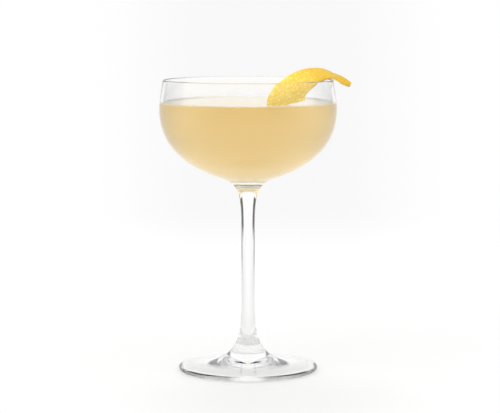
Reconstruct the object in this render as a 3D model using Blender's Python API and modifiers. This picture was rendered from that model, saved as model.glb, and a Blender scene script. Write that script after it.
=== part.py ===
"""A coupe of pale cocktail with a strip of lemon peel hooked over its rim.

Three solids: the blown glass, the drink that fills its bowl, and the peel.
Units are metres. +Z is up, and the origin is the middle of the foot's underside.
Points of a turned profile are (radius, height) in millimetres.
"""

import math

import bmesh
import bpy
from mathutils import Vector

MM = 0.001

# Driving dimensions, in millimetres.
GLASS_HEIGHT = 150.0
RIM_RADIUS = 43.3  # to the middle of the wall
WALL_AT_RIM = 1.2
WIDEST_RADIUS = 45.6
WIDEST_HEIGHT = 135.2
WALL_AT_WIDEST = 1.25
BOWL_INSIDE_BOTTOM = 100.2
STEM_RADIUS = 3.35
FOOT_RADIUS = 35.8
FOOT_EDGE_HEIGHT = 2.6
DRINK_LEVEL = 138.0
PEEL_THICKNESS = 1.6
PEEL_CAMBER = 1.1  # how far the middle of the widest part stands proud
GAP = 0.3  # left between two solids that touch

TURN_STEPS = 56
RIM_STEPS = 6
FOOT_EDGE_STEPS = 7
PEEL_STEPS_ALONG = 40
PEEL_STEPS_ACROSS = 8
CUTTER_PAST_SIDES = 0.03  # how far the peel's cutter reaches past each long edge, as a share
CUTTER_PAST_END = 0.016  # and past the end in the drink

# Each stretch of the glass's outline is a cubic curve: its start, two handles and its end.
RIM_OUTSIDE = (RIM_RADIUS + WALL_AT_RIM / 2, GLASS_HEIGHT - WALL_AT_RIM / 2)
RIM_INSIDE = (RIM_RADIUS - WALL_AT_RIM / 2, GLASS_HEIGHT - WALL_AT_RIM / 2)
WIDEST_OUTSIDE = (WIDEST_RADIUS, WIDEST_HEIGHT)
WIDEST_INSIDE = (WIDEST_RADIUS - WALL_AT_WIDEST, WIDEST_HEIGHT)
KNUCKLE_TOP = (13.1, 99.05)
STEM_TOP = (3.6, 74.2)
STEM_FOOT = (STEM_RADIUS, 36.5)
FLARE_END = (13.4, 6.9)
FOOT_TOP_END = (32.6, 3.05)

INSIDE_CURVES = [
    ((0.0, BOWL_INSIDE_BOTTOM), (26.0, BOWL_INSIDE_BOTTOM), (WIDEST_INSIDE[0], 115.2), WIDEST_INSIDE, 14),
    (WIDEST_INSIDE, (WIDEST_INSIDE[0], 138.1), (42.95, 146.0), RIM_INSIDE, 6),
]
OUTSIDE_CURVES = [
    (RIM_OUTSIDE, (44.2, 146.1), (WIDEST_RADIUS, 137.9), WIDEST_OUTSIDE, 6),
    (WIDEST_OUTSIDE, (WIDEST_RADIUS, 115.4), (31.7, 105.1), KNUCKLE_TOP, 14),
    (KNUCKLE_TOP, (4.25, 96.2), (3.6, 89.0), STEM_TOP, 11),
    (STEM_TOP, (3.6, 66.0), (STEM_RADIUS, 46.7), STEM_FOOT, 3),
    (STEM_FOOT, (STEM_RADIUS, 22.5), (4.1, 11.3), FLARE_END, 9),
    (FLARE_END, (15.3, 6.0), (26.9, 3.4), FOOT_TOP_END, 4),
]

# The peel's two long edges from the end in the drink, over the rim, to the tip outside.
PEEL_UPPER_EDGE = [
    (9.3, -24.0, 136.4), (9.6, -24.4, 140.3), (10.9, -24.2, 144.0), (14.9, -22.5, 148.8),
    (20.4, -19.0, 152.8), (26.7, -14.0, 155.3), (32.6, -8.0, 155.9), (37.4, -2.0, 155.4),
    (41.1, 2.2, 153.8), (44.2, 3.8, 152.4), (48.1, 3.6, 151.1), (52.9, 1.8, 148.0),
]
PEEL_LOWER_EDGE = [
    (28.4, -17.0, 140.0), (28.3, -17.0, 141.3), (29.0, -16.8, 143.0), (31.1, -16.2, 145.0),
    (33.9, -15.0, 147.4), (36.2, -12.8, 149.1), (38.6, -10.0, 150.4), (41.0, -7.4, 151.2),
    (43.5, -4.8, 151.1), (46.0, -2.6, 149.9), (48.9, -0.8, 148.4), (52.5, 0.6, 147.0),
]


def clear_scene():
    for thing in list(bpy.data.objects):
        bpy.data.objects.remove(thing, do_unlink=True)


def add_collection(name):
    collection = bpy.data.collections.new(name)
    bpy.context.scene.collection.children.link(collection)
    return collection


def make_material(name, color, roughness, alpha=1.0):
    material = bpy.data.materials.new(name)
    material.use_nodes = True
    shader = material.node_tree.nodes["Principled BSDF"]
    shader.inputs["Base Color"].default_value = (*color, 1.0)
    shader.inputs["Roughness"].default_value = roughness
    shader.inputs["Metallic"].default_value = 0.0
    shader.inputs["Alpha"].default_value = alpha
    return material


def curve_points(curves):
    """Points along a chain of cubic curves, each with its number of steps."""
    points = [curves[0][0]]
    for start, handle_out, handle_in, end, steps in curves:
        for step in range(1, steps + 1):
            t = step / steps
            weights = ((1 - t) ** 3, 3 * (1 - t) ** 2 * t, 3 * (1 - t) * t**2, t**3)
            corners = (start, handle_out, handle_in, end)
            points.append(tuple(sum(w * c[k] for w, c in zip(weights, corners)) for k in (0, 1)))
    return points


def arc(center, radius, start, end, steps):
    """Points of a circle's arc, with its angles in degrees."""
    angles = [math.radians(start + (end - start) * step / steps) for step in range(steps + 1)]
    return [(center[0] + radius * math.cos(a), center[1] + radius * math.sin(a)) for a in angles]


def add_turned(name, profile, collection, material):
    """Turn a profile about the Z axis. It runs from the axis, outward and back to the axis."""
    mesh = bpy.data.meshes.new(name)
    shape = bmesh.new()
    verts = [shape.verts.new((radius * MM, 0.0, height * MM)) for radius, height in profile]
    for first, second in zip(verts, verts[1:]):
        shape.edges.new((first, second))
    shape.to_mesh(mesh)
    shape.free()
    turned = bpy.data.objects.new(name, mesh)
    collection.objects.link(turned)
    screw = turned.modifiers.new("turn", "SCREW")
    screw.axis = "Z"
    screw.angle = math.tau
    screw.steps = TURN_STEPS
    screw.render_steps = TURN_STEPS
    screw.use_merge_vertices = True
    screw.merge_threshold = 0.00001
    screw.use_smooth_shade = True
    mesh.materials.append(material)
    return turned


def glass_profile():
    """Up the bowl's inside, over the rim, and down the outside to the foot's underside."""
    half_wall = WALL_AT_RIM / 2
    rim = arc((RIM_RADIUS, GLASS_HEIGHT - half_wall), half_wall, 180, 0, RIM_STEPS)
    half_edge = FOOT_EDGE_HEIGHT / 2
    edge = arc((FOOT_RADIUS - half_edge, half_edge), half_edge, 75, -90, FOOT_EDGE_STEPS)
    inside = curve_points(INSIDE_CURVES)
    outside = curve_points(OUTSIDE_CURVES)
    return inside + rim[1:-1] + outside + edge + [(0.0, 0.0)]


def drink_profile():
    """The bowl's inside moved in by the gap, up to the level, from the axis to the axis."""
    inside = curve_points(INSIDE_CURVES)
    wall = [(0.0, BOWL_INSIDE_BOTTOM + GAP)]
    for before, point, after in zip(inside, inside[1:], inside[2:]):
        run = Vector((after[0] - before[0], after[1] - before[1])).normalized()
        moved = (point[0] - run.y * GAP, point[1] + run.x * GAP)
        if moved[1] > DRINK_LEVEL:
            share = (DRINK_LEVEL - wall[-1][1]) / (moved[1] - wall[-1][1])
            brim = wall[-1][0] + (moved[0] - wall[-1][0]) * share
            wall.append((brim, DRINK_LEVEL))
            break
        wall.append(moved)
    return [(0.0, DRINK_LEVEL)] + wall[::-1]


def along_edge(points, share):
    """A point on a smooth curve through the points (Catmull-Rom), at a share of its length.
    Below zero the curve goes on straight."""
    place = share * (len(points) - 1)
    if place < 0:
        return Vector(points[0]) + (Vector(points[1]) - Vector(points[0])) * place
    index = min(int(place), len(points) - 2)
    t = place - index
    before = Vector(points[max(index - 1, 0)])
    start = Vector(points[index])
    end = Vector(points[index + 1])
    after = Vector(points[min(index + 2, len(points) - 1)])
    return 0.5 * (
        2 * start
        + (end - before) * t
        + (2 * before - 5 * start + 4 * end - after) * t**2
        + (3 * start - before - 3 * end + after) * t**3
    )


def peel_point(along, across):
    """A point of the peel's middle surface. across runs from 0, the lower edge, to 1."""
    lower = along_edge(PEEL_LOWER_EDGE, along)
    upper = along_edge(PEEL_UPPER_EDGE, along)
    step = 0.01
    ahead = min(along + step, 1.0)
    behind = max(ahead - 2 * step, 0.0)
    middle_ahead = along_edge(PEEL_LOWER_EDGE, ahead) + along_edge(PEEL_UPPER_EDGE, ahead)
    middle_behind = along_edge(PEEL_LOWER_EDGE, behind) + along_edge(PEEL_UPPER_EDGE, behind)
    width = upper - lower
    outward = (middle_ahead - middle_behind).cross(width).normalized()
    widest = (Vector(PEEL_UPPER_EDGE[1]) - Vector(PEEL_LOWER_EDGE[1])).length
    bulge = PEEL_CAMBER * (width.length / widest) * (1 - (2 * across - 1) ** 2)
    return lower + width * across + outward * bulge


def add_peel(name, thickness, past_sides, past_end, collection, material):
    """The peel as a grid laid on its middle surface and thickened to both sides."""
    mesh = bpy.data.meshes.new(name)
    shape = bmesh.new()
    bmesh.ops.create_grid(
        shape, x_segments=PEEL_STEPS_ALONG, y_segments=PEEL_STEPS_ACROSS, size=0.5
    )
    for vert in shape.verts:
        along = (vert.co.x + 0.5) * (1 + past_end) - past_end
        across = (vert.co.y + 0.5) * (1 + 2 * past_sides) - past_sides
        vert.co = peel_point(along, across) * MM
    bmesh.ops.recalc_face_normals(shape, faces=shape.faces)
    shape.to_mesh(mesh)
    shape.free()
    peel = bpy.data.objects.new(name, mesh)
    collection.objects.link(peel)
    solidify = peel.modifiers.new("thickness", "SOLIDIFY")
    solidify.thickness = thickness * MM
    solidify.offset = 0.0
    solidify.use_even_offset = True
    mesh.materials.append(material)
    mesh.shade_smooth()
    return peel


clear_scene()
cocktail = add_collection("cocktail")
cutters = add_collection("cutters")

glass_material = make_material("clear_glass", (0.95, 0.97, 0.97), 0.02, 0.35)
drink_material = make_material("pale_gold_drink", (0.84, 0.62, 0.27), 0.05, 0.9)
peel_material = make_material("lemon_peel", (0.92, 0.66, 0.10), 0.45)

add_turned("glass", glass_profile(), cocktail, glass_material)

# The drink is cut round the end of the peel that dips into it.
drink = add_turned("drink", drink_profile(), cocktail, drink_material)
hollow = add_peel(
    "peel_hollow", PEEL_THICKNESS + 2 * GAP, CUTTER_PAST_SIDES, CUTTER_PAST_END, cutters, peel_material
)
hollow.hide_render = True
hollow.display_type = "WIRE"
cut = drink.modifiers.new("room for the peel", "BOOLEAN")
cut.operation = "DIFFERENCE"
cut.solver = "EXACT"
cut.object = hollow

add_peel("lemon_twist", PEEL_THICKNESS, 0.0, 0.0, cocktail, peel_material)
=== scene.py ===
"""A coupe of pale golden cocktail with a strip of lemon peel hooked over its rim."""

import math

import bmesh
import bpy
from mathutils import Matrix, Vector, noise


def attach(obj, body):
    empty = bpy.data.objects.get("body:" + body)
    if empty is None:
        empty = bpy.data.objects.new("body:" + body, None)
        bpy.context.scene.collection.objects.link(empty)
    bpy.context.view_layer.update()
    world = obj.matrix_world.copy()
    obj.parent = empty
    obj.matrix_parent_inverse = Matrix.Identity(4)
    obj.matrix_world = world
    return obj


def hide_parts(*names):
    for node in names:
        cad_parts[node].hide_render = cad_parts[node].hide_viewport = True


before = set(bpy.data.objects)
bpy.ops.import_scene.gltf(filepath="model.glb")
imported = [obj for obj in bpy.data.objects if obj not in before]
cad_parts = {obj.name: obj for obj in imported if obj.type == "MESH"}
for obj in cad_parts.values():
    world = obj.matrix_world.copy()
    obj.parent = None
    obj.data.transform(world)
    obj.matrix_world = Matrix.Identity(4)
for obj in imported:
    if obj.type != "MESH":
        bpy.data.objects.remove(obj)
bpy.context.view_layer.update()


# ---- The glass ---------------------------------------------------------------------------
# A stemmed coupe of clear lead-free crystal. The bowl is blown, the stem is drawn down from
# it while hot, and the foot is spun out flat; the rim is cut off and melted round.

# Sizes are in millimetres, and MM turns them into metres.
MM = 0.001
RIM_RADIUS = 43.3
WALL_AT_RIM = 0.9
RIM_CENTER = 149.4
RIM_STEPS = 12
WIDEST_RADIUS = 45.6
WIDEST_HEIGHT = 135.2
WIDEST_INSIDE = 44.35
BELLY = (WIDEST_RADIUS, WIDEST_HEIGHT)
BELLY_INSIDE = (WIDEST_INSIDE, WIDEST_HEIGHT)
BOWL_BOTTOM = 100.2
FOOT_RADIUS = 35.8
FOOT_EDGE_HALF = 1.3
FOOT_EDGE_STEPS = 14
FOOT_HOLLOW_RADIUS = 33.5
FOOT_HOLLOW_DEPTH = 4.5
FOOT_HOLLOW_STEPS = 24
GLASS_TURN_STEPS = 256
CRYSTAL = (0.995, 0.998, 0.997, 1)
SMUDGED_CRYSTAL = (0.985, 0.99, 0.99, 1)

# Each stretch of an outline is a cubic curve: start, two handles, end, number of steps.
BOWL_INSIDE = [
    ((0.0, BOWL_BOTTOM), (26.0, BOWL_BOTTOM), (WIDEST_INSIDE, 115.2), BELLY_INSIDE, 80),
    (BELLY_INSIDE, (WIDEST_INSIDE, 138.1), (43.05, 146.0), (42.85, RIM_CENTER), 24),
]
GLASS_OUTSIDE = [
    ((43.75, RIM_CENTER), (44.1, 146.1), (WIDEST_RADIUS, 137.9), BELLY, 24),
    (BELLY, (WIDEST_RADIUS, 115.4), (31.7, 105.1), (13.1, 99.05), 64),
    ((13.1, 99.05), (4.4, 96.25), (3.45, 88.8), (3.45, 74.2), 44),
    ((3.45, 74.2), (3.45, 66.0), (3.38, 46.7), (3.38, 36.5), 16),
    ((3.38, 36.5), (3.38, 22.5), (4.1, 11.3), (13.4, 6.9), 44),
    ((13.4, 6.9), (15.3, 6.0), (26.9, 3.4), (32.6, 3.05), 16),
]


def curve_points(curves):
    """The points along an outline's curves, from the first start to the last end."""
    points = [curves[0][0]]
    for start, handle_out, handle_in, end, steps in curves:
        corners = (start, handle_out, handle_in, end)
        for step in range(1, steps + 1):
            t = step / steps
            weights = ((1 - t) ** 3, 3 * (1 - t) ** 2 * t, 3 * (1 - t) * t**2, t**3)
            radius = sum(weight * corner[0] for weight, corner in zip(weights, corners))
            height = sum(weight * corner[1] for weight, corner in zip(weights, corners))
            points.append((radius, height))
    return points


def arc_points(center, radius, start, end, steps):
    """The points along a round stretch of an outline, between two angles in degrees."""
    angles = [math.radians(start + (end - start) * step / steps) for step in range(steps + 1)]
    return [(center[0] + radius * math.cos(a), center[1] + radius * math.sin(a)) for a in angles]


def turned_shape(outline, steps):
    """An outline from the axis and back to it, turned about the Z axis and closed at its poles."""
    shape = bmesh.new()
    verts = [shape.verts.new((radius * MM, 0.0, height * MM)) for radius, height in outline]
    edges = [shape.edges.new(pair) for pair in zip(verts, verts[1:])]
    bmesh.ops.spin(
        shape,
        geom=verts + edges,
        cent=(0.0, 0.0, 0.0),
        axis=(0.0, 0.0, 1.0),
        angle=math.tau,
        steps=steps,
        use_merge=True,
    )
    bmesh.ops.remove_doubles(shape, verts=shape.verts, dist=0.001 * MM)
    bmesh.ops.recalc_face_normals(shape, faces=shape.faces)
    return shape


def add_object(name, shape):
    """A finished bmesh as a smooth object in the scene."""
    mesh = bpy.data.meshes.new(name)
    shape.to_mesh(mesh)
    shape.free()
    mesh.shade_smooth()
    made = bpy.data.objects.new(name, mesh)
    bpy.context.scene.collection.objects.link(made)
    return made


class Wire:
    """One output of a node tree. Plain sums on it add the Math nodes."""

    def __init__(self, tree, socket=None):
        self.tree = tree
        self.socket = socket

    def add(self, kind, settings, sockets, output=0):
        """Any other node: its settings first, then the values or links of its sockets."""
        node = self.tree.nodes.new(kind)
        for name, value in settings.items():
            if name == "stops":
                stops = node.color_ramp.elements
                stops[0].position, stops[0].color = value[0]
                stops[1].position, stops[1].color = value[-1]
                for place, color in value[1:-1]:
                    stops.new(place).color = color
            else:
                setattr(node, name, value)
        for name, value in sockets.items():
            if isinstance(value, Wire):
                self.tree.links.new(value.socket, node.inputs[name])
            else:
                node.inputs[name].default_value = value
        return Wire(self.tree, node.outputs[output] if node.outputs else None)

    def math(self, operation, first, second=0.0):
        return self.add("ShaderNodeMath", {"operation": operation}, {0: first, 1: second})

    def __add__(self, other):
        return self.math("ADD", self, other)

    __radd__ = __add__

    def __sub__(self, other):
        return self.math("SUBTRACT", self, other)

    def __rsub__(self, other):
        return self.math("SUBTRACT", other, self)

    def __mul__(self, other):
        return self.math("MULTIPLY", self, other)

    __rmul__ = __mul__

    def __truediv__(self, other):
        return self.math("DIVIDE", self, other)

    def __pow__(self, other):
        return self.math("POWER", self, other)

    def size(self):
        """This value without its sign."""
        return self.math("ABSOLUTE", self)

    def higher(self, other):
        """The larger of the two values."""
        return self.math("MAXIMUM", self, other)

    def above(self, other):
        """1 where this value is the larger one, else 0."""
        return self.math("GREATER_THAN", self, other)

    def between(self, first, second):
        """The first number where this value is 0, the second where it is 1."""
        return self * (second - first) + first

    def ramp(self, low, high, bottom=0.0, top=1.0):
        """Smoothly from bottom to top as this value goes from low to high."""
        settings = {"interpolation_type": "SMOOTHSTEP"}
        sockets = {
            "Value": self,
            "From Min": low,
            "From Max": high,
            "To Min": bottom,
            "To Max": top,
        }
        return self.add("ShaderNodeMapRange", settings, sockets)

    def mix(self, first, second):
        """The first colour where this value is 0, the second where it is 1."""
        return self.add("ShaderNodeMix", {"data_type": "RGBA"}, {0: self, 6: first, 7: second}, 2)

    def noise(self, scale, detail=2.0, roughness=0.5):
        """Cloudy noise from 0 to 1 on these coordinates."""
        sockets = {"Vector": self, "Scale": scale, "Detail": detail, "Roughness": roughness}
        return self.add("ShaderNodeTexNoise", {}, sockets, "Fac")


def new_material(name):
    """A bare material, with its wires and the object's own coordinates."""
    material = bpy.data.materials.new(name)
    material.use_nodes = True
    material.node_tree.nodes.clear()
    wires = Wire(material.node_tree)
    return material, wires, wires.add("ShaderNodeTexCoord", {}, {}, "Object")


def clear_glass():
    """Fire-polished crystal: clear, with a faint ripple from blowing and a breath of handling."""
    material, wires, place = new_material("clear_glass")
    ripple = place.noise(55.0, 1.0)
    smudge = place.noise(140.0, 4.0, 0.6).ramp(0.6, 0.8)
    bump = wires.add("ShaderNodeBump", {}, {"Strength": 0.12, "Distance": 0.0002, "Height": ripple})
    surface = wires.add(
        "ShaderNodeBsdfPrincipled",
        {},
        {
            "Base Color": smudge.mix(CRYSTAL, SMUDGED_CRYSTAL),
            "Roughness": smudge * 0.012,
            "IOR": 1.5,
            "Transmission Weight": 1.0,
            "Normal": bump,
        },
    )
    wires.add("ShaderNodeOutputMaterial", {}, {"Surface": surface})
    return material


rim = arc_points((RIM_RADIUS, RIM_CENTER), WALL_AT_RIM / 2, 180, 0, RIM_STEPS)
foot_edge_center = (FOOT_RADIUS - FOOT_EDGE_HALF, FOOT_EDGE_HALF)
foot_edge = arc_points(foot_edge_center, FOOT_EDGE_HALF, 75, -90, FOOT_EDGE_STEPS)
shares = [step / FOOT_HOLLOW_STEPS for step in range(FOOT_HOLLOW_STEPS, -1, -1)]
underside = [(FOOT_HOLLOW_RADIUS * s, FOOT_HOLLOW_DEPTH * (1 - s**1.5)) for s in shares]
inside = curve_points(BOWL_INSIDE)
glass_outline = inside + rim[1:-1] + curve_points(GLASS_OUTSIDE) + foot_edge + underside
coupe = add_object("blown_coupe", turned_shape(glass_outline, GLASS_TURN_STEPS))
coupe.data.materials.append(clear_glass())
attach(coupe, "root")
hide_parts("glass")


# ---- The drink ---------------------------------------------------------------------------
# Stirred spirits with lemon and liqueur, pale gold and very slightly cloudy. It fills the
# bowl a little above its widest part, wets the glass and climbs it in a small meniscus.

DRINK_LEVEL = 138.0
MENISCUS_CLIMB = 0.5
MENISCUS_REACH = 0.6
MENISCUS_WIDTH = 5.5 * MENISCUS_REACH
MENISCUS_STEPS = 39
SURFACE_STEPS = 24
INTO_WALL = 0.18
DRINK_TURN_STEPS = 192
# A pair of heights is where a soft change starts and ends: the painted highlight's are over
# the drink's level, and the other two are over the bowl's bottom.
PAINTED_HIGHLIGHT_CLIMB = (0.03, 0.25)
PAINTED_HIGHLIGHT_SHARE = 0.68
CLOUD_RISE = (1.8, 21.8)
CLOUD_AT_TOP = 0.33
CLOUD_EVERYWHERE = 0.10
# The drink's foot has a painted glow: a faint light of its own, in place of the light it catches
# there.
FOOT_GLOW_RISE = (2.8, 0.2)
FOOT_GLOW = 0.04
GOLD_IN_DEPTH = (0.985, 0.773, 0.165, 1)
CLEAR_LIQUID = (1.0, 1.0, 0.99, 1)
CLOUDY_LIQUID = (0.98, 0.97, 0.94, 1)
# Painted highlight: a pale matte sheet on the meniscus stands in for the light the meniscus
# catches.
PALE_PAINTED_HIGHLIGHT = (0.90, 0.875, 0.81, 1)
CREAMY_PAINTED_HIGHLIGHT = (0.90, 0.855, 0.765, 1)
PAINTED_GLOW = (1.0, 0.98, 0.88, 1)
NO_LIGHT = (0.0, 0.0, 0.0, 1)


def drink_outline():
    """The surface with its meniscus, then down the bowl's inside, just into the wall."""
    wall = []
    top = DRINK_LEVEL + MENISCUS_CLIMB
    for before, point, after in zip(inside, inside[1:], inside[2:]):
        run = Vector((after[0] - before[0], after[1] - before[1])).normalized()
        wall.append((point[0] + run.y * INTO_WALL, point[1] - run.x * INTO_WALL))
        if wall[-1][1] > top:
            share = (top - wall[-2][1]) / (wall[-1][1] - wall[-2][1])
            wall[-1] = (wall[-2][0] + (wall[-1][0] - wall[-2][0]) * share, top)
            break
    radius = wall[-1][0] - INTO_WALL
    meniscus = [(radius, top)]
    for step in range(1, MENISCUS_STEPS + 1):
        away = MENISCUS_WIDTH * (step / MENISCUS_STEPS) ** 1.5
        climb = MENISCUS_CLIMB * math.exp(-away / MENISCUS_REACH)
        meniscus.append((radius - away, DRINK_LEVEL + climb))
    flat_radius = meniscus[-1][0]
    flat = []
    for step in range(SURFACE_STEPS):
        flat.append((flat_radius * math.sqrt(step / SURFACE_STEPS), DRINK_LEVEL))
    return flat + meniscus[::-1] + wall[::-1] + [(0.0, BOWL_BOTTOM - INTO_WALL)]


def pale_gold_drink():
    """Hazy golden liquid, coloured by its depth, with a painted highlight on its meniscus and a
    faint painted glow at its foot.
    """
    material, wires, place = new_material("pale_gold_drink")
    haze = place.noise(30.0, 3.0)
    height = wires.add("ShaderNodeSeparateXYZ", {}, {0: place}, "Z")
    over_level = height / MM - DRINK_LEVEL
    over_bottom = height / MM - BOWL_BOTTOM
    below_surface = over_level.ramp(0.1, -0.3)
    cloud = over_bottom.ramp(*CLOUD_RISE) * CLOUD_AT_TOP + haze * 0.08 + CLOUD_EVERYWHERE
    # Painted glow: the drink gives off a faint light of its own near the bowl's bottom.
    foot_of_drink = over_bottom.ramp(*FOOT_GLOW_RISE)
    liquid = wires.add(
        "ShaderNodeBsdfPrincipled",
        {},
        {
            "Base Color": haze.mix(CLEAR_LIQUID, CLOUDY_LIQUID),
            "Roughness": below_surface * cloud,
            "IOR": 1.35,
            "Transmission Weight": 1.0,
            "Emission Color": foot_of_drink.mix(NO_LIGHT, PAINTED_GLOW),
            "Emission Strength": FOOT_GLOW,
        },
    )
    # Painted highlight: a pale matte sheet, mixed in where the meniscus climbs, stands in for the
    # light it catches.
    painted_highlight_color = haze.mix(PALE_PAINTED_HIGHLIGHT, CREAMY_PAINTED_HIGHLIGHT)
    painted_highlight = wires.add("ShaderNodeBsdfPrincipled", {}, {"Base Color": painted_highlight_color, "Roughness": 0.4})
    highlighted = over_level.ramp(*PAINTED_HIGHLIGHT_CLIMB) * PAINTED_HIGHLIGHT_SHARE
    surface = wires.add("ShaderNodeMixShader", {}, {0: highlighted, 1: liquid, 2: painted_highlight})
    tint = {"Color": GOLD_IN_DEPTH, "Density": 20.0}
    depth = wires.add("ShaderNodeVolumeAbsorption", {}, tint)
    wires.add("ShaderNodeOutputMaterial", {}, {"Surface": surface, "Volume": depth})
    return material


drink = add_object("poured_drink", turned_shape(drink_outline(), DRINK_TURN_STEPS))
drink.data.materials.append(pale_gold_drink())
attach(drink, "root")
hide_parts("drink")


# ---- The lemon twist ---------------------------------------------------------------------
# A strip pared from a lemon with a knife: thin yellow zest, dimpled with oil pores, on white
# pith. Its wide end dips into the drink, and it bends over the rim and hangs by its own spring.

PEEL_LENGTH = 62.0
PEEL_THICKNESS = 1.6
PEEL_CAMBER = 1.1
PEEL_STEPS_ALONG = 340
PEEL_STEPS_ACROSS = 96
CUT_EDGE_SHARE = 0.45
SIDE_ROUNDING = 1.2
END_ROUNDING = 0.9
PORE_SPACING = 1.5
PORE_REACH = 0.42
PORE_DEPTH = 0.17
SKIN_SWELL = 0.10
PITH_FIBRE = 0.08
PEEL_UPPER_EDGE = [
    (9.3, -24.0, 136.4), (9.6, -24.4, 140.3), (10.9, -24.2, 144.0), (14.9, -22.5, 148.8),
    (20.4, -19.0, 152.8), (26.7, -14.0, 155.3), (32.6, -8.0, 155.9), (37.4, -2.0, 155.4),
    (41.1, 2.2, 153.8), (44.2, 3.8, 152.4), (48.1, 3.6, 151.1), (52.9, 1.8, 148.0),
]
PEEL_LOWER_EDGE = [
    (28.4, -17.0, 140.0), (28.3, -17.0, 141.3), (29.0, -16.8, 143.0), (31.1, -16.2, 145.0),
    (33.9, -15.0, 147.3), (36.2, -12.8, 148.9), (38.6, -10.0, 149.9), (41.0, -7.4, 150.6),
    (43.4, -4.8, 150.5), (45.8, -2.6, 149.2), (48.5, -0.8, 147.5), (51.9, 0.6, 146.1),
]
# The zest's yellow along the strip, from the wide end to the tail: deeper and more orange toward
# the tail.
ZEST_ALONG = [
    (0.0, (0.85, 0.61, 0.10, 1)),
    (0.25, (0.78, 0.53, 0.065, 1)),
    (0.50, (0.56, 0.355, 0.016, 1)),
    (0.80, (0.53, 0.325, 0.013, 1)),
    (1.0, (0.48, 0.29, 0.013, 1)),
]
PALE_ZEST = (0.98, 0.83, 0.32, 1)
# Deeper yellow for painted shade in the pores' pits, and also for darker random mottles.
PORE_SHADE_AND_MOTTLE_YELLOW = (0.62, 0.36, 0.025, 1)
WHITE_PITH = (0.80, 0.72, 0.50, 1)
SHADED_PITH = (0.74, 0.64, 0.42, 1)


def along_edge(points, share):
    """A point on a smooth curve through the points, at a share of its length."""
    place = share * (len(points) - 1)
    index = min(int(place), len(points) - 2)
    t = place - index
    before = Vector(points[max(index - 1, 0)])
    start = Vector(points[index])
    end = Vector(points[index + 1])
    after = Vector(points[min(index + 2, len(points) - 1)])
    return 0.5 * (
        2 * start
        + (end - before) * t
        + (2 * before - 5 * start + 4 * end - after) * t**2
        + (3 * start - before - 3 * end + after) * t**3
    )


def peel_frame(along):
    """The two edges of the peel's middle surface at a share of its length, and its outward side."""
    lower = along_edge(PEEL_LOWER_EDGE, along)
    upper = along_edge(PEEL_UPPER_EDGE, along)
    ahead = min(along + 0.01, 1.0)
    behind = max(ahead - 0.02, 0.0)
    run = along_edge(PEEL_LOWER_EDGE, ahead) + along_edge(PEEL_UPPER_EDGE, ahead)
    run -= along_edge(PEEL_LOWER_EDGE, behind) + along_edge(PEEL_UPPER_EDGE, behind)
    outward = run.cross(upper - lower).normalized()
    return lower, upper, outward


def peel_shape():
    """A flat grid given two skins, then laid along the twist, with pores pressed into its zest."""
    shape = bmesh.new()
    bmesh.ops.create_grid(
        shape,
        x_segments=PEEL_STEPS_ALONG,
        y_segments=PEEL_STEPS_ACROSS,
        size=0.5,
    )
    raised = bmesh.ops.extrude_face_region(shape, geom=shape.faces[:])["geom"]
    raised = [part for part in raised if isinstance(part, bmesh.types.BMVert)]
    bmesh.ops.translate(shape, verts=raised, vec=(0.0, 0.0, 1.0))
    zest = shape.verts.layers.float.new("zest")
    pore = shape.verts.layers.float.new("pore")
    dried = shape.verts.layers.float.new("dried")
    frames = {}
    widest = (Vector(PEEL_UPPER_EDGE[1]) - Vector(PEEL_LOWER_EDGE[1])).length
    for vert in shape.verts:
        along = vert.co.x + 0.5
        across = vert.co.y + 0.5
        side = vert.co.z
        key = round(along, 5)
        if key not in frames:
            frames[key] = peel_frame(along)
        lower, upper, outward = frames[key]
        width = upper - lower
        bulge = PEEL_CAMBER * (width.length / widest) * (1 - (2 * across - 1) ** 2)
        middle = lower + width * across + outward * bulge
        from_side = min(across, 1 - across) * width.length
        from_end = min(along, 1 - along) * PEEL_LENGTH
        rounding = min(1.0, from_side / SIDE_ROUNDING, from_end / END_ROUNDING)
        rounded = math.sqrt(1 - (1 - rounding) ** 2)
        half = PEEL_THICKNESS / 2 * (CUT_EDGE_SHARE + (1 - CUT_EDGE_SHARE) * rounded)
        vert[zest] = side
        vert[dried] = along
        if side > 0.5:
            skin = Vector((along * PEEL_LENGTH, across * width.length, 0.0)) / PORE_SPACING
            nearest = noise.voronoi(skin)[0][0]
            pit = max(0.0, 1 - nearest / PORE_REACH) ** 1.5 * rounding
            vert[pore] = pit
            swell = SKIN_SWELL * noise.noise(skin * 0.35)
            vert.co = (middle + outward * (half + swell - PORE_DEPTH * pit)) * MM
        else:
            strand = Vector((along * 30.0, across * width.length * 0.8, 3.0))
            fibre = PITH_FIBRE * noise.noise(strand)
            vert.co = (middle - outward * (half + fibre)) * MM
    bmesh.ops.recalc_face_normals(shape, faces=shape.faces)
    return shape


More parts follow.
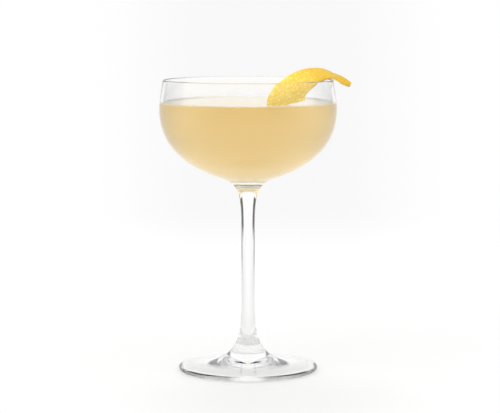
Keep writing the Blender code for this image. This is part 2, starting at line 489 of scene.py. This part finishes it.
def lemon_peel():
    """Waxy zest, with painted shade in its pores, darker random mottles and deeper yellow toward
    its tail, over soft white pith.
    """
    material, wires, place = new_material("lemon_peel")
    zest = wires.add("ShaderNodeAttribute", {"attribute_name": "zest"}, {}, "Fac").ramp(0.3, 0.75)
    pore = wires.add("ShaderNodeAttribute", {"attribute_name": "pore"}, {}, "Fac")
    dried = wires.add("ShaderNodeAttribute", {"attribute_name": "dried"}, {}, "Fac")
    mottle = place.noise(900.0, 2.0, 0.6)
    grain = place.noise(1500.0, 2.0)
    yellow = wires.add("ShaderNodeValToRGB", {"stops": ZEST_ALONG}, {"Fac": dried}, "Color")
    pale = mottle.ramp(0.45, 0.75) * dried.ramp(0.70, 0.05) * 0.8
    yellow = pale.mix(yellow, PALE_ZEST)
    # Painted shade in the pores' pits, plus darker random mottles, both in the deeper yellow.
    pore_shade_and_mottle = pore * 0.75 + mottle.ramp(0.5, 0.25) * 0.3
    yellow = pore_shade_and_mottle.mix(yellow, PORE_SHADE_AND_MOTTLE_YELLOW)
    white = grain.mix(WHITE_PITH, SHADED_PITH)
    height = pore * -0.6 + grain * 0.2 + mottle * 0.4
    bump = wires.add("ShaderNodeBump", {}, {"Strength": 0.5, "Distance": 0.0003, "Height": height})
    surface = wires.add(
        "ShaderNodeBsdfPrincipled",
        {},
        {
            "Base Color": zest.mix(white, yellow),
            "Roughness": 0.75 - zest * 0.33 + pore * 0.1,
            "Specular IOR Level": 0.3,
            "Subsurface Weight": 0.2,
            "Subsurface Radius": (1.0, 0.6, 0.2),
            "Subsurface Scale": 0.0008,
            "Normal": bump,
        },
    )
    wires.add("ShaderNodeOutputMaterial", {}, {"Surface": surface})
    return material


peel = add_object("lemon_peel_strip", peel_shape())
peel.data.materials.append(lemon_peel())
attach(peel, "root")
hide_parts("lemon_twist")


# ---- The table ---------------------------------------------------------------------------
# A wide table top of matte white acrylic, lit from below and brightest away from the glass.
# It fades out into the studio's white on every side, so that no edge shows.

# Sizes and distances of the table are in metres, and a pair of them is a soft edge.
TABLE_RADIUS = 0.85
TABLE_GAP = 0.0003
TABLE_FADE = (0.10, 0.80)
EVEN_LIGHT = (0.14, 0.40)
# A painted shadow: the table's glow is dimmer in a soft spot just in front of the glass.
PAINTED_SHADOW_SPOT = (0.012, -0.078, 0.0)
PAINTED_SHADOW_EDGE = (0.02, 0.09)
TABLE_WHITE = (0.35, 0.35, 0.348, 1)
TABLE_SHADED = (0.34, 0.34, 0.34, 1)
TABLE_BLACK = (0.0, 0.0, 0.0, 1)
FAR_GLOW = (0.975, 0.975, 0.975, 1)
NEAR_GLOW = (0.43, 0.43, 0.43, 1)
SHADOWED_GLOW = (0.37, 0.37, 0.37, 1)


def white_table():
    """Matte white with a light of its own, dimmed in a painted shadow in front of the glass. Seen
    through the stem, it is darker at its sides.
    """
    material, wires, place = new_material("white_table")
    measure = "ShaderNodeVectorMath"
    distance = wires.add(measure, {"operation": "LENGTH"}, {0: place}, "Value")
    from_painted_shadow = wires.add(measure, {"operation": "DISTANCE"}, {0: place, 1: PAINTED_SHADOW_SPOT}, "Value")
    faint = place.noise(9.0, 3.0)
    across = wires.add("ShaderNodeSeparateXYZ", {}, {0: place}, "X").size()
    sideways = across / distance.higher(0.001)
    crossed = wires.add("ShaderNodeLightPath", {}, {}, "Transmission Depth")
    through_stem = crossed.above(1.5) * (1 - crossed.above(2.5))
    slanting = sideways.ramp(0.64, 0.74) * sideways.ramp(0.996, 0.986) * distance.ramp(0.22, 0.50)
    shade = (distance.ramp(0.04, 0.08) * (sideways * 0.45 + 0.03)).higher(slanting * 0.9)
    far = distance.ramp(*EVEN_LIGHT)
    # Painted shadow: the glow drops to a dimmer grey in the spot in front of the glass.
    near_glow = from_painted_shadow.ramp(*PAINTED_SHADOW_EDGE).mix(SHADOWED_GLOW, NEAR_GLOW)
    glow = far.mix(near_glow, FAR_GLOW)
    paint = wires.add(
        "ShaderNodeBsdfPrincipled",
        {},
        {
            "Base Color": far.mix(faint.mix(TABLE_SHADED, TABLE_WHITE), TABLE_BLACK),
            "Roughness": 0.6,
            "Emission Color": (shade * through_stem).mix(glow, TABLE_BLACK),
            "Emission Strength": 1.0,
            "Alpha": 1 - distance.ramp(*TABLE_FADE),
        },
    )
    wires.add("ShaderNodeOutputMaterial", {}, {"Surface": paint})
    return material


top = bmesh.new()
bmesh.ops.create_circle(top, cap_ends=True, cap_tris=False, segments=128, radius=TABLE_RADIUS)
bmesh.ops.translate(top, verts=top.verts, vec=(0.0, 0.0, -TABLE_GAP))
bmesh.ops.recalc_face_normals(top, faces=top.faces)
table = add_object("table_top", top)
table.data.materials.append(white_table())


# ---- The studio --------------------------------------------------------------------------
# A white room and backdrop, dark flags at both sides that draw the stem's edges, and one large
# soft light at the upper left. No real room works like it: each kind of ray, such as one that
# comes through the drink, finds a brightness of its own here.

# Angles are in degrees from straight behind the glass. Every other measure of a direction is
# the share of it that points up, sideways or back, and a pair of them is a soft edge. The
# softbox's sizes and places are in metres.
BACKDROP_HALF_ANGLE = 38.5
BACKDROP_CENTER = 0.010
BACKDROP_SHADE = (0.028, 0.095)
BACKDROP_LIGHT = 0.944
BACKDROP_LIGHT_ASIDE = 1.0
HORIZON_HALF_ANGLE = 20.0
HORIZON_FROM = (-0.078, -0.052)
HORIZON_TO = (0.05, 0.0)
STEM_HALF_ANGLE = 31.0
FLAG_FAR_ANGLE = 84.0
FLAG_TALL_FROM = 61.0
FLAG_TOP_LOW = 0.24
FLAG_TOP_TALL = 0.60
FLAG_BOTTOM = (-0.122, -0.114)
FLAG_FOOT_FROM = 48.5
FLAG_FOOT_TO = 81.5
FLAG_FOOT_BOTTOM = (-0.155, -0.122)
FLAG_GREY = 0.02
FLAG_SOFT_GREY = 0.52
FLAG_REFLECTED = 0.95
FLAG_THROUGH_DRINK = 1.3
FLAG_THROUGH_DRINK_ABOVE = 1.65
FLAG_THROUGH_DRINK_HEIGHT = (0.05, 0.25)
ROOM_LIGHT = 1.0
ROOM_LIGHT_ON_MATTE = 1.3
ROOM_THROUGH_DRINK = 0.93
ROOM_THROUGH_DRINK_ASIDE = 1.17
ROOM_ASIDE_FROM = 24.0
ROOM_ASIDE_HEIGHT = (0.03, 0.12)
ROOM_ABOVE = 0.72
ROOM_ABOVE_HEIGHT = (0.60, 0.85)
FRONT_FROM = (-0.1, -0.7)
FRONT_LIGHT = 0.5
FRONT_LIGHT_HEIGHT = (0.55, 0.30)
FRONT_LIGHT_ON_MATTE = 2.1
SOFTBOX_GLOW = 1.5
SOFTBOX_GLOW_HEIGHT = (0.50, 0.65)
SOFTBOX_WIDTH = 0.7
SOFTBOX_HEIGHT = 0.5
SOFTBOX_WATTS = 1.2
SOFTBOX_PLACE = Vector((-0.55, -0.5, 0.85))
SOFTBOX_TARGET = Vector((0.0, 0.0, 0.12))

world = bpy.data.worlds.new("studio")
bpy.context.scene.world = world
world.use_nodes = True
world.node_tree.nodes.clear()
air = Wire(world.node_tree)
toward = air.add("ShaderNodeTexCoord", {}, {}, "Generated")
toward_x = air.add("ShaderNodeSeparateXYZ", {}, {0: toward}, "X")
toward_y = air.add("ShaderNodeSeparateXYZ", {}, {0: toward}, "Y")
toward_z = air.add("ShaderNodeSeparateXYZ", {}, {0: toward}, "Z")
level = (toward_x * toward_x + toward_y * toward_y).higher(0.000001) ** 0.5
facing = toward_y / level


def cosine(angle):
    return math.cos(math.radians(angle))


def within(angle, soft):
    """1 inside this angle from straight behind the glass, 0 outside it, with a soft edge."""
    return facing.ramp(cosine(angle + soft), cosine(angle - soft))


# How a ray got here: not through the glass, through the stem or one wall, through two walls, or
# through the drink.
crossed = air.add("ShaderNodeLightPath", {}, {}, "Transmission Depth")
reflected = 1 - crossed.above(0.5)
stem = crossed.above(1.5) * (1 - crossed.above(2.5))
two_walls = crossed.above(3.5)
drink_crossed = crossed.above(4.5)

# The dark flags at both sides: where they stand, closer in just below the horizon, and how dark
# each kind of ray finds them.
horizon = toward_z.ramp(*HORIZON_FROM) * toward_z.ramp(*HORIZON_TO) * (1 - stem)
edge = horizon.between(cosine(BACKDROP_HALF_ANGLE), cosine(HORIZON_HALF_ANGLE))
edge = stem.between(edge, cosine(STEM_HALF_ANGLE))
beside = facing.ramp(edge + 0.04, edge - 0.04) * within(FLAG_FAR_ANGLE, 4)
flag_top = within(FLAG_TALL_FROM, 3).between(FLAG_TOP_TALL, FLAG_TOP_LOW)
below_top = (flag_top - toward_z).ramp(-0.04, 0.04)
flag_foot = (1 - within(FLAG_FOOT_FROM, 2.5)) * within(FLAG_FOOT_TO, 2.5)
flag_foot = flag_foot * toward_z.ramp(*FLAG_FOOT_BOTTOM)
flag = beside * below_top * toward_z.ramp(*FLAG_BOTTOM).higher(flag_foot)
higher_up = toward_z.ramp(*FLAG_THROUGH_DRINK_HEIGHT)
flag_light = stem.between(FLAG_SOFT_GREY, FLAG_GREY)
flag_light = reflected.between(flag_light, FLAG_REFLECTED)
golden_flag = higher_up.between(FLAG_THROUGH_DRINK, FLAG_THROUGH_DRINK_ABOVE)
flag_light = drink_crossed.between(flag_light, golden_flag)

# The room: through the drink it is brighter beside the backdrop and shows the softbox's glow
# high in front, through two walls it is duller overhead, and reflections find its front dim.
front = facing.ramp(*FRONT_FROM)
room_aside = (1 - within(ROOM_ASIDE_FROM, 12)) * toward_z.ramp(*ROOM_ASIDE_HEIGHT)
golden_room = room_aside.between(ROOM_THROUGH_DRINK, ROOM_THROUGH_DRINK_ASIDE)
room = drink_crossed.between(ROOM_LIGHT, golden_room)
room = (two_walls * toward_z.ramp(*ROOM_ABOVE_HEIGHT)).between(room, ROOM_ABOVE)
room = (drink_crossed * front * toward_z.ramp(*SOFTBOX_GLOW_HEIGHT)).between(room, SOFTBOX_GLOW)
low_front = reflected * front * toward_z.ramp(*FRONT_LIGHT_HEIGHT)
dim_front = low_front * (FRONT_LIGHT - ROOM_LIGHT)
on_clear = flag.between(room, flag_light) + dim_front
on_matte = front.between(ROOM_LIGHT_ON_MATTE, FRONT_LIGHT_ON_MATTE)
scattered = air.add("ShaderNodeLightPath", {}, {}, "Diffuse Depth").above(0.5)

# The backdrop itself, a shade darker straight behind the glass.
aside = (toward_x / level - BACKDROP_CENTER).size()
backdrop = aside.ramp(*BACKDROP_SHADE).between(BACKDROP_LIGHT, BACKDROP_LIGHT_ASIDE)
seen = air.add("ShaderNodeLightPath", {}, {}, "Is Camera Ray")
strength = seen.between(scattered.between(on_clear, on_matte), backdrop)
white = {"Color": (1.0, 1.0, 1.0, 1), "Strength": strength}
background = air.add("ShaderNodeBackground", {}, white)
air.add("ShaderNodeOutputWorld", {}, {"Surface": background})

softbox = bpy.data.lights.new("softbox", "AREA")
softbox.shape = "RECTANGLE"
softbox.size = SOFTBOX_WIDTH
softbox.size_y = SOFTBOX_HEIGHT
softbox.energy = SOFTBOX_WATTS
softbox_stand = bpy.data.objects.new("softbox", softbox)
softbox_stand.location = SOFTBOX_PLACE
softbox_aim = SOFTBOX_TARGET - SOFTBOX_PLACE
softbox_stand.rotation_euler = softbox_aim.to_track_quat("-Z", "Y").to_euler()
softbox_stand.visible_glossy = False
softbox_stand.visible_transmission = False
bpy.context.scene.collection.objects.link(softbox_stand)


# ---- The camera --------------------------------------------------------------------------
# A long lens about a metre away, a little above the rim and tilted slightly down. The light is
# followed through enough bounces to get through the glass, the drink and the stem's knuckle.

# The lens and the sensor are in millimetres, the camera's place is in metres.
LENS = 144.0
SENSOR_WIDTH = 36.0
CAMERA_PLACE = (0.001, -1.023, 0.194)
CAMERA_TILT_DOWN = 6.10
GLASS_BOUNCES = 16
MIRROR_BOUNCES = 12

camera_data = bpy.data.cameras.new("camera")
camera_data.lens = LENS
camera_data.sensor_width = SENSOR_WIDTH
camera_data.clip_start = 0.05
camera = bpy.data.objects.new("camera", camera_data)
camera.location = CAMERA_PLACE
camera.rotation_euler = (math.radians(90.0 - CAMERA_TILT_DOWN), 0.0, 0.0)
bpy.context.scene.collection.objects.link(camera)
bpy.context.scene.camera = camera

view = bpy.context.scene.view_settings
view.view_transform = "Standard"
view.look = "None"
cycles = bpy.context.scene.cycles
cycles.max_bounces = GLASS_BOUNCES
cycles.transmission_bounces = GLASS_BOUNCES
cycles.transparent_max_bounces = GLASS_BOUNCES
cycles.glossy_bounces = MIRROR_BOUNCES
